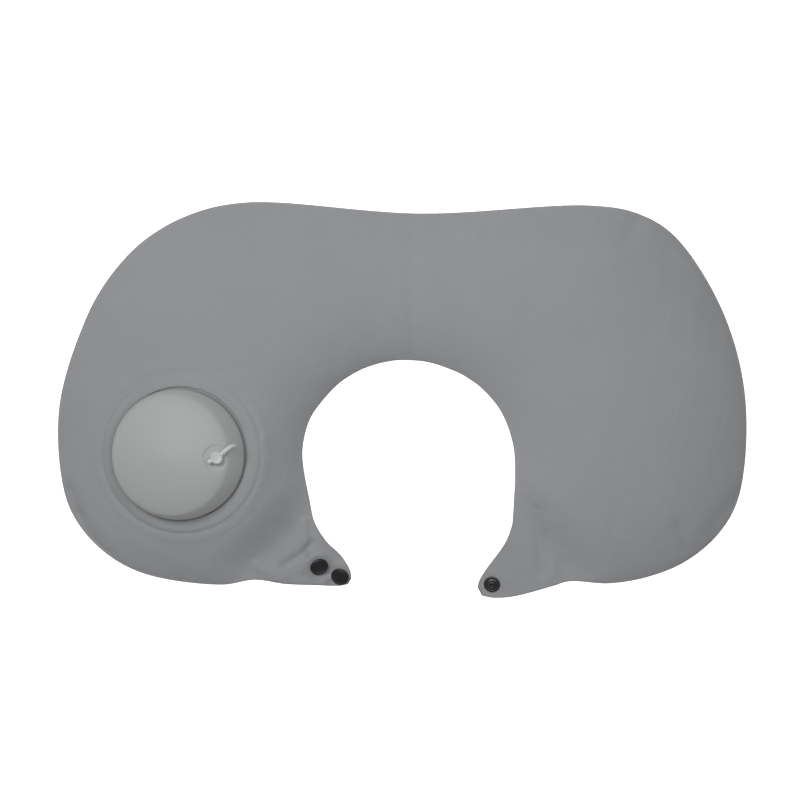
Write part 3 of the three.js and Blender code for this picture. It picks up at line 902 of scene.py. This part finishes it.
    @staticmethod
    def edge_loop(rows: int, ribs: int) -> np.ndarray:
        """The grid's outer points in order round the seam."""
        last = (rows - 1) * ribs
        inner = np.arange(1, ribs - 1)
        return np.concatenate([
            np.arange(rows) * ribs, last + inner, (np.arange(rows) * ribs + ribs - 1)[::-1], inner[::-1],
        ])

    def cut_map(self, height: np.ndarray) -> np.ndarray:
        """Where each point lay on the flat cut panel: its rib is laid straight from its middle out."""
        places = np.dstack([self.flat, height])
        lengths = np.linalg.norm(np.diff(places, axis=1), axis=2)
        run = np.concatenate([np.zeros((len(places), 1)), np.cumsum(lengths, axis=1)], axis=1)
        centre = self.rib_steps // 2
        way = self.flat[:, -1] - self.flat[:, 0]
        way /= np.linalg.norm(way, axis=1)[:, None]
        laid = self.flat[:, centre, None] + (run - run[:, centre, None])[..., None] * way[:, None]
        return laid.reshape(-1, 2)

    def pucker(self, body: bpy.types.Object, cloth: bpy.types.Material) -> bpy.types.Object:
        """Gathers the cloth along the seam with the pucker tree, then bakes it into a plain mesh.

        Args:
            body: The smooth body.
            cloth: The cloth's material.

        Returns:
            The puckered body, with no modifier left.
        """
        depth = self.seam_distance()
        nearer = self.share[None, :] < 0.5
        run = np.where(nearer, self.run[0][:, None], self.run[1][:, None] + self.rim_run)
        loose = np.where(self.on_tab[:, None], self.tab_slack, 1.0) * self.off_seam(self.pucker_start)
        beyond = len(body.data.vertices) - 2 * depth.size
        for name, values in (("seam_distance", depth), ("seam_run", run), ("slack", loose)):
            both = np.concatenate([values.reshape(-1), values.reshape(-1), np.zeros(beyond)])
            layer = body.data.attributes.new(name, "FLOAT", "POINT")
            layer.data.foreach_set("value", both.astype(np.float32))
        return PuckerTree().apply(body, cloth)


@dataclass(frozen=True)
class PuckerTree:
    """Geometry Nodes that gather the cloth in short puckers square to the seam."""

    rise: float = 0.35
    pitch: float = 7.0
    reach: float = 4.5
    seed: float = 4.0

    def apply(self, body: bpy.types.Object, cloth: bpy.types.Material) -> bpy.types.Object:
        """Runs the tree on a body and turns the result into a plain mesh.

        Args:
            body: A mesh with the attributes seam_distance, seam_run and slack.
            cloth: The material that the tree sets.

        Returns:
            The same object with the puckered mesh and no modifier.
        """
        tree = self.tree(cloth)
        modifier = body.modifiers.new("puckers", "NODES")
        modifier.node_group = tree
        sizes = {"Rise": self.rise * MM, "Pitch": self.pitch, "Reach": self.reach, "Seed": self.seed}
        for item in tree.interface.items_tree:
            if item.item_type == "SOCKET" and item.in_out == "INPUT" and item.name in sizes:
                modifier[item.identifier] = sizes[item.name]
        return baked(body)

    def tree(self, cloth: bpy.types.Material) -> bpy.types.NodeTree:
        """Builds the tree: noise along the seam, strongest a little way in from it."""
        grower = TreeBuilder("seam_puckers", ("Rise", "Pitch", "Reach", "Seed"))
        distance = grower.attribute("seam_distance")
        run = grower.attribute("seam_run")
        slack = grower.attribute("slack")
        along = grower.maths("DIVIDE", run, grower.size("Pitch"))
        inward = grower.maths("DIVIDE", distance, grower.size("Reach"))
        spot = grower.node("ShaderNodeCombineXYZ")
        grower.feed(spot.inputs[0], along)
        grower.feed(spot.inputs[1], grower.maths("MULTIPLY", inward, 0.3))
        grower.feed(spot.inputs[2], grower.size("Seed"))
        noise = grower.node("ShaderNodeTexNoise", noise_dimensions="3D")
        grower.feed(noise.inputs["Vector"], spot.outputs[0])
        noise.inputs["Scale"].default_value = 1.0
        noise.inputs["Detail"].default_value = 2.0
        swing = grower.maths("MULTIPLY_ADD", noise.outputs[0], 2.0, -1.0)
        fade = grower.maths("EXPONENT", grower.maths("SUBTRACT", 1.0, inward))
        hump = grower.maths("MULTIPLY", inward, fade)
        height = grower.maths("MULTIPLY", grower.maths("MULTIPLY", swing, hump), slack)
        lift = grower.node("ShaderNodeVectorMath", operation="SCALE")
        grower.feed(lift.inputs[0], grower.node("GeometryNodeInputNormal").outputs[0])
        grower.feed(lift.inputs["Scale"], grower.maths("MULTIPLY", height, grower.size("Rise")))
        moved = grower.node("GeometryNodeSetPosition")
        grower.feed(moved.inputs["Geometry"], grower.geometry)
        grower.feed(moved.inputs["Offset"], lift.outputs[0])
        return grower.finish(moved.outputs[0], cloth)


class TreeBuilder(NodeWriter):
    """Builds a Geometry Nodes tree with named sizes, ending in Realize Instances and Set Material."""

    def __init__(self, name: str, sizes: Sequence[str]) -> None:
        """Starts a tree with a geometry input and a number for each size."""
        super().__init__(bpy.data.node_groups.new(name, "GeometryNodeTree"))
        self.tree.interface.new_socket("Geometry", in_out="INPUT", socket_type="NodeSocketGeometry")
        for size in sizes:
            self.tree.interface.new_socket(size, in_out="INPUT", socket_type="NodeSocketFloat")
        self.tree.interface.new_socket("Geometry", in_out="OUTPUT", socket_type="NodeSocketGeometry")
        self.entry = self.node("NodeGroupInput")
        self.geometry = self.entry.outputs["Geometry"]

    def size(self, name: str) -> bpy.types.NodeSocket:
        """One of the tree's named sizes."""
        return self.entry.outputs[name]

    def attribute(self, name: str) -> bpy.types.NodeSocket:
        """A number that the mesh carries at its points."""
        made = self.node("GeometryNodeInputNamedAttribute", data_type="FLOAT")
        made.inputs["Name"].default_value = name
        return made.outputs["Attribute"]

    def finish(self, geometry: bpy.types.NodeSocket, material: bpy.types.Material) -> bpy.types.NodeTree:
        """Realizes the geometry, gives it its material and closes the tree."""
        real = self.node("GeometryNodeRealizeInstances")
        dressed = self.node("GeometryNodeSetMaterial")
        dressed.inputs["Material"].default_value = material
        out = self.node("NodeGroupOutput")
        self.feed(real.inputs[0], geometry)
        self.feed(dressed.inputs["Geometry"], real.outputs[0])
        self.feed(out.inputs[0], dressed.outputs[0])
        return self.tree


def baked(piece: bpy.types.Object) -> bpy.types.Object:
    """Turns an object's modifiers into a plain mesh and removes them."""
    bpy.context.view_layer.update()
    graph = bpy.context.evaluated_depsgraph_get()
    mesh = bpy.data.meshes.new_from_object(piece.evaluated_get(graph), depsgraph=graph)
    mesh.name = piece.name
    piece.modifiers.clear()
    piece.data = mesh
    mesh.shade_smooth()
    return piece


@dataclass
class PumpRing:
    """The ring of face cloth that is raised round the dome, laid over the body's own surface."""

    turns: int = 320
    profile: tuple = (
        (44.7, -4.0), (44.7, -1.2), (44.75, 0.4), (45.2, 1.1), (46.4, 1.5), (49.0, 1.6), (51.6, 1.5),
        (53.2, 1.05), (54.2, 0.42), (55.0, 0.1), (56.2, 0.12), (58.2, 0.36), (60.2, 0.3), (62.0, 0.08), (64.0, -0.3),
    )

    def build(self, body: bpy.types.Object, axis: Axis, cloth: bpy.types.Material) -> bpy.types.Object:
        """Builds the ring over a body.

        Args:
            body: The finished body that the ring lies on.
            axis: The pump's middle line.
            cloth: The cloth's material.

        Returns:
            The ring, riding on the frame.
        """
        line = rounded_open(self.profile, 4)
        turn = np.arange(self.turns) * 2 * math.pi / self.turns
        ring = np.cos(turn)[:, None] * axis.side + np.sin(turn)[:, None] * axis.other
        flat = (axis.foot + MM * line[:, :1, None] * ring)[..., :2]
        ground = self.ground(body, flat)
        rise = MM * line[:, 1][:, None] * np.ones(self.turns)
        places = np.concatenate([flat, (ground + rise)[..., None]], axis=-1).reshape(-1, 3)
        faces = grid_quads(len(line) + 1, self.turns, ring=True)[:, ::-1] % len(places)
        return dressed("pump_ring", (places, faces), cloth, Slot.CLOTH, uv=places[:, :2])

    def ground(self, body: bpy.types.Object, flat: np.ndarray) -> np.ndarray:
        """The body's height under each point of the ring, from straight above."""
        tree = BVHTree.FromObject(body, bpy.context.evaluated_depsgraph_get())
        above = CAD_BOX[1].z + 0.05
        height = np.zeros(flat.shape[:2])
        for row in range(flat.shape[0]):
            for step in range(flat.shape[1]):
                x, y = flat[row, step]
                hit = tree.ray_cast(Vector((x, y, above)), Vector((0, 0, -1)))[0]
                height[row, step] = hit.z
        return height


@dataclass
class PumpDome:
    """The press pump's moulded dome, with the seat that its valve stands in."""

    radius: float = 44.3
    base_radius: float = 43.8
    height: float = 30.0
    tuck: float = 9.0
    across_power: float = 1.35
    up_power: float = 2.6
    flank_foot: float = 4.5
    flank_rise: float = 2.36
    flank_bend: float = 0.8
    flank_bearing: float = -25.0
    flank_lift: float = 9.0
    slump: tuple = (-0.06, -0.05)
    steps: int = 420
    rows: int = 130
    valve_out: float = 30.5
    valve_bearing: float = 1.0
    valve_lean: float = 20.0
    seat_radius: float = 8.8
    seat_sink: float = 0.9
    seat_wall: float = 0.7

    def skin_height(self, out: np.ndarray, bearing: np.ndarray) -> np.ndarray:
        """The skin's height over the dome's base. Its crown drops to a steep flank on one side.

        Args:
            out: Distances from the dome's middle, in mm.
            bearing: Directions from the middle, in radians.

        Returns:
            The heights, in mm.
        """
        crown = (1 - (out / self.radius) ** self.across_power) ** (1 / self.up_power)
        top = self.tuck + (self.height - self.tuck) * crown
        lift = self.flank_lift * (1 - np.cos(bearing - math.radians(self.flank_bearing))) / 2
        flank = self.flank_foot + lift + self.flank_rise * (self.radius - out)
        return (top + flank - np.sqrt((top - flank) ** 2 + 4 * self.flank_bend**2)) / 2

    def build(self, axis: Axis, skin: bpy.types.Material) -> bpy.types.Object:
        """Builds the dome.

        Args:
            axis: The pump's middle line, with its foot at the dome's base.
            skin: The dome's material.

        Returns:
            The dome, in place of its CAD node.
        """
        turn = np.linspace(math.pi / 2, 0, self.rows)
        out = self.radius * np.cos(turn) ** (2 / self.across_power)
        out[0] = 0
        upper = np.column_stack([out, self.tuck + out])
        low = self.flank_foot * np.array([0.9, 0.7, 0.5, 0.3, 0.15])
        edge = np.column_stack([self.radius - np.array([0.01, 0.04, 0.1, 0.2, 0.35]), low])
        skirt = np.array([[self.base_radius, 0.6], [self.base_radius - 0.4, 0.1], [self.base_radius - 1, 0], [0, 0]])
        places, faces = turned(np.vstack([upper, edge, skirt]), self.steps)
        crowned = places[:, 2] > low[0]
        over = places[crowned]
        away = np.minimum(np.hypot(over[:, 0], over[:, 1]), self.radius)
        places[crowned, 2] = self.skin_height(away, np.arctan2(over[:, 1], over[:, 0]))
        solid = (axis.place(self.seated(places)), faces)
        return dressed("pump_dome_skin", solid, skin, Slot.PUMP_SKIN, "pump_dome")

    def seated(self, places: np.ndarray) -> np.ndarray:
        """Slumps the soft dome to one side, and presses the valve's flat round seat into it."""
        bearing, lean = math.radians(self.valve_bearing), math.radians(self.valve_lean)
        way = np.array([math.cos(bearing), math.sin(bearing)])
        skin = float(self.skin_height(np.array(self.valve_out), np.array(bearing)))
        slump = np.array(self.slump)
        places = places + places[:, 2:] * np.array([*slump, 0.0])
        foot = np.array([*(way * self.valve_out + slump * skin), skin])
        up = np.array([*(way * math.sin(lean)), math.cos(lean)])
        rise = (places - foot) @ up
        away = np.linalg.norm(places - foot - rise[:, None] * up, axis=1)
        share = 1 - smooth((away - self.seat_radius + self.seat_wall) / self.seat_wall)
        share[rise < -self.seat_radius] = 0
        return places + ((-self.seat_sink - rise) * share)[:, None] * up


@dataclass
class PlugValve:
    """The plug valve: its stem, its plug with a grip tab, and the strap that runs out over the shoulder."""

    stem_profile: tuple = (
        (0.0, 2.4), (3.5, 2.4), (3.9, 2.2), (4.0, 1.5), (4.25, 1.0), (4.6, 0.75), (4.7, 0.4), (4.7, 0.0), (0.0, 0.0),
    )
    plug_profile: tuple = (
        (0.0, 1.45), (1.6, 1.5), (2.5, 1.6), (3.3, 1.6), (3.7, 1.4), (3.8, 1.0), (3.75, 0.3), (3.5, 0.0), (0.0, 0.0),
    )
    stem_base: float = -0.6
    plug_base: float = 2.1
    grip_out: float = 5.3
    grip_radius: float = 1.45
    grip_bearing: float = 207.0
    grip_low: float = 0.2
    grip_thick: float = 1.1
    strap_width: float = 2.6
    strap_thick: float = 0.9
    strap_steps: int = 60
    strap_sides: int = 16

    def build(self, plastic: bpy.types.Material) -> list[bpy.types.Object]:
        """Builds the valve's pieces on the axis of the CAD stem.

        Args:
            plastic: The valve's material.

        Returns:
            The stem, the plug, the grip and the strap.
        """
        axis = Axis.of_node("valve_stem", 1)
        made = []
        for name, (places, faces), nodes in (
            ("valve_stem_skin", turned(rounded(self.stem_profile, 4), 64), ("valve_stem",)),
            ("valve_plug", self.lifted(turned(rounded(self.plug_profile, 4), 64)), ("valve_cap",)),
            ("valve_grip", self.grip(), ()),
            ("valve_strap", self.strap(), ()),
        ):
            made.append(dressed(name, (axis.place(places), faces), plastic, Slot.VALVE_PLASTIC, *nodes))
        return made

    def lifted(self, solid: tuple[np.ndarray, list]) -> tuple[np.ndarray, list]:
        """A turned piece raised from the stem's foot to the plug's."""
        places, faces = solid
        places[:, 2] += self.plug_base - self.stem_base
        return places, faces

    def grip(self) -> tuple[np.ndarray, list]:
        """The grip tab: a flat tongue with a round end and soft edges."""
        around = 40
        turn = np.linspace(-math.pi / 2, math.pi / 2, around)
        tip = np.stack([self.grip_out + self.grip_radius * np.cos(turn), self.grip_radius * np.sin(turn)], axis=-1)
        root = np.array([[1.0, self.grip_radius], [1.0, -self.grip_radius]])
        outline = np.vstack([tip, root])
        centre = np.array([self.grip_out * 0.6, 0.0])
        low = self.plug_base - self.stem_base + self.grip_low
        levels = ((0.9, 0.0), (1.0, 0.18), (1.0, 0.82), (0.9, 1.0))
        rings = [
            np.column_stack([centre + (outline - centre) * shrink, np.full(len(outline), low + rise * self.grip_thick)])
            for shrink, rise in levels
        ]
        places = np.vstack(rings)
        bearing = math.radians(self.grip_bearing)
        turned_x = places[:, 0] * math.cos(bearing) - places[:, 1] * math.sin(bearing)
        turned_y = places[:, 0] * math.sin(bearing) + places[:, 1] * math.cos(bearing)
        places = np.column_stack([turned_x, turned_y, places[:, 2]])
        count = len(outline)
        faces = grid_quads(len(levels), count, ring=True).tolist()
        faces.append(list(range(count))[::-1])
        faces.append(list(range((len(levels) - 1) * count, len(levels) * count)))
        return places, faces

    def strap(self) -> tuple[np.ndarray, list]:
        """The strap: a ribbon with soft edges along its path."""
        bearing = np.radians([point.bearing for point in STRAP_PATH])
        out = np.array([point.out for point in STRAP_PATH])
        height = np.array([point.height for point in STRAP_PATH]) - self.stem_base
        keys = np.column_stack([out * np.cos(bearing), out * np.sin(bearing), height])
        line = curve_through(keys, np.linspace(0, len(keys) - 1, self.strap_steps + 1))
        way = np.gradient(line, axis=0)
        side = np.column_stack([-line[:, 1], line[:, 0], np.zeros(len(line))])
        side /= np.linalg.norm(side, axis=1)[:, None]
        face = np.cross(way, side)
        face /= np.linalg.norm(face, axis=1)[:, None]
        sides = self.strap_sides
        turn = np.arange(sides) * 2 * math.pi / sides
        across = np.sign(np.cos(turn)) * np.abs(np.cos(turn)) ** 0.45 * self.strap_width / 2
        up = np.sign(np.sin(turn)) * np.abs(np.sin(turn)) ** 0.6 * self.strap_thick / 2
        places = line[:, None] + across[None, :, None] * side[:, None] + up[None, :, None] * face[:, None]
        faces = grid_quads(len(line), sides, ring=True).tolist()
        faces.append(list(range(sides))[::-1])
        faces.append(list(range((len(line) - 1) * sides, len(line) * sides)))
        return places.reshape(-1, 3), faces


@dataclass
class SnapSet:
    """The snaps: two caps and their sockets on the left tab, a stud and its cap on the right one."""

    steps: int = 72
    profiles: dict = field(default_factory=lambda: {
        SnapForm.CAP: (
            (0.0, 2.2), (2.0, 2.17), (3.7, 2.04), (4.6, 1.85), (5.05, 1.71), (5.35, 1.71), (5.7, 1.73), (6.05, 1.49),
            (6.25, 1.1), (6.3, 0.8), (6.25, 0.4), (6.0, 0.1), (5.6, 0.0), (0.0, 0.0),
        ),
        SnapForm.SOCKET: (
            (0.0, 0.7), (1.8, 0.7), (2.55, 0.8), (2.75, 1.2), (2.85, 2.1), (3.15, 2.5), (3.65, 2.6), (4.15, 2.45),
            (4.35, 2.0), (4.5, 1.5), (4.8, 1.25), (5.3, 1.1), (5.6, 0.8), (5.6, 0.3), (5.3, 0.0), (0.0, 0.0),
        ),
        SnapForm.STUD: (
            (0.0, 2.4), (0.8, 2.45), (1.0, 3.1), (1.3, 3.38), (1.8, 3.4), (2.3, 3.2), (2.6, 2.8), (2.5, 2.3),
            (2.6, 1.7), (2.95, 1.4), (3.45, 1.2), (4.0, 1.05), (4.35, 1.15), (5.0, 1.12), (5.4, 0.95), (5.6, 0.6),
            (5.55, 0.25), (5.3, 0.0), (0.0, 0.0),
        ),
    })

    def build(self, plastic: bpy.types.Material) -> list[bpy.types.Object]:
        """Builds each snap half on the axis of its CAD node.

        Args:
            plastic: The snaps' material.

        Returns:
            The six halves.
        """
        made = []
        for node, form, up in (
            ("snap_cap_inner", SnapForm.CAP, 1),
            ("snap_cap_outer", SnapForm.CAP, 1),
            ("snap_socket_inner", SnapForm.SOCKET, -1),
            ("snap_socket_outer", SnapForm.SOCKET, -1),
            ("snap_stud", SnapForm.STUD, 1),
            ("snap_stud_cap", SnapForm.CAP, -1),
        ):
            axis = Axis.of_node(node, up)
            places, faces = turned(rounded(self.profiles[form], 3), self.steps)
            solid = (axis.place(places), faces)
            made.append(dressed(f"{node}_moulding", solid, plastic, Slot.SNAP_PLASTIC, node))
        return made


@dataclass
class Studio:
    """The pale floor, the soft lights and the camera straight above the pillow."""

    seam_height: float = 20.5
    camera_height: float = 1100.0
    camera_place: tuple = (-1.55, 0.24)
    lens: float = 71.755
    sensor: float = 36.0
    lamps: tuple = (("key", (-0.62, 0.57, 1.68), 18.0), ("top", (0.06, 0.06, 0.9), 4.2))
    lamp_side: float = 0.5
    sky: float = 0.08
    floor_half: float = 6.0
    floor_grey: float = 0.3
    floor_glow: float = 1.25

    def build(self) -> None:
        """Sets the floor, the lights, the camera and the plain view of the colours."""
        scene = bpy.context.scene
        scene.view_settings.view_transform = "Standard"
        self.floor()
        for lamp in self.lamps:
            self.light(*lamp)
        world = bpy.data.worlds.new("studio")
        world.use_nodes = True
        world.node_tree.nodes["Background"].inputs["Color"].default_value = (1, 1, 1, 1)
        world.node_tree.nodes["Background"].inputs["Strength"].default_value = self.sky
        scene.world = world
        lens = bpy.data.cameras.new("camera")
        lens.lens = self.lens
        lens.sensor_width = self.sensor
        camera = bpy.data.objects.new("camera", lens)
        x, y = self.camera_place
        camera.location = (x * MM, y * MM, (self.camera_height + self.seam_height) * MM)
        scene.collection.objects.link(camera)
        scene.camera = camera

    def floor(self) -> None:
        """A wide floor, lit a little from within as a white light table is."""
        half = self.floor_half
        places = np.array([[-half, -half, 0], [half, -half, 0], [half, half, 0], [-half, half, 0]])
        floor = make_piece("floor", places, [[0, 1, 2, 3]])
        dress = Dresser("white_table")
        dress.coat("Base Color", (self.floor_grey, self.floor_grey, self.floor_grey, 1))
        dress.coat("Roughness", 0.9)
        dress.coat("Emission Color", (1, 1, 1, 1))
        dress.coat("Emission Strength", self.floor_glow)
        floor.data.materials.append(dress.material)

    def light(self, name: str, place: tuple, power: float) -> None:
        """A square soft light that faces the pillow.

        Args:
            name: The light's name.
            place: Where it stands, in metres.
            power: Its power in watts.
        """
        lamp = bpy.data.lights.new(name, "AREA")
        lamp.size = self.lamp_side
        lamp.energy = power
        stand_at = bpy.data.objects.new(name, lamp)
        stand_at.location = place
        stand_at.rotation_euler = (-Vector(place)).to_track_quat("-Z", "Y").to_euler()
        bpy.context.scene.collection.objects.link(stand_at)


def report(pieces: Sequence[bpy.types.Object]) -> None:
    """Logs each piece with its number of faces."""
    for piece in pieces:
        LOG.info("%s: %d faces", piece.name, len(piece.data.polygons))


def main() -> None:
    """Builds the pillow's sub-assemblies in order, then the studio."""
    logging.basicConfig(level=logging.INFO, format="%(name)s: %(message)s")
    cloth = PillowCloth().material()
    pillow = PillowBody()
    body = pillow.build(cloth)
    report([body])
    report([PumpRing().build(body, pillow.plate.axis(pillow.shift, 0.0), cloth)])
    report([PumpDome().build(pillow.plate.axis(pillow.shift, CLEARANCE), PumpSkin().material())])
    report(PlugValve().build(ValvePlastic().material()))
    report(SnapSet().build(SnapPlastic().material()))
    Studio().build()


if __name__ == "__main__":
    main()
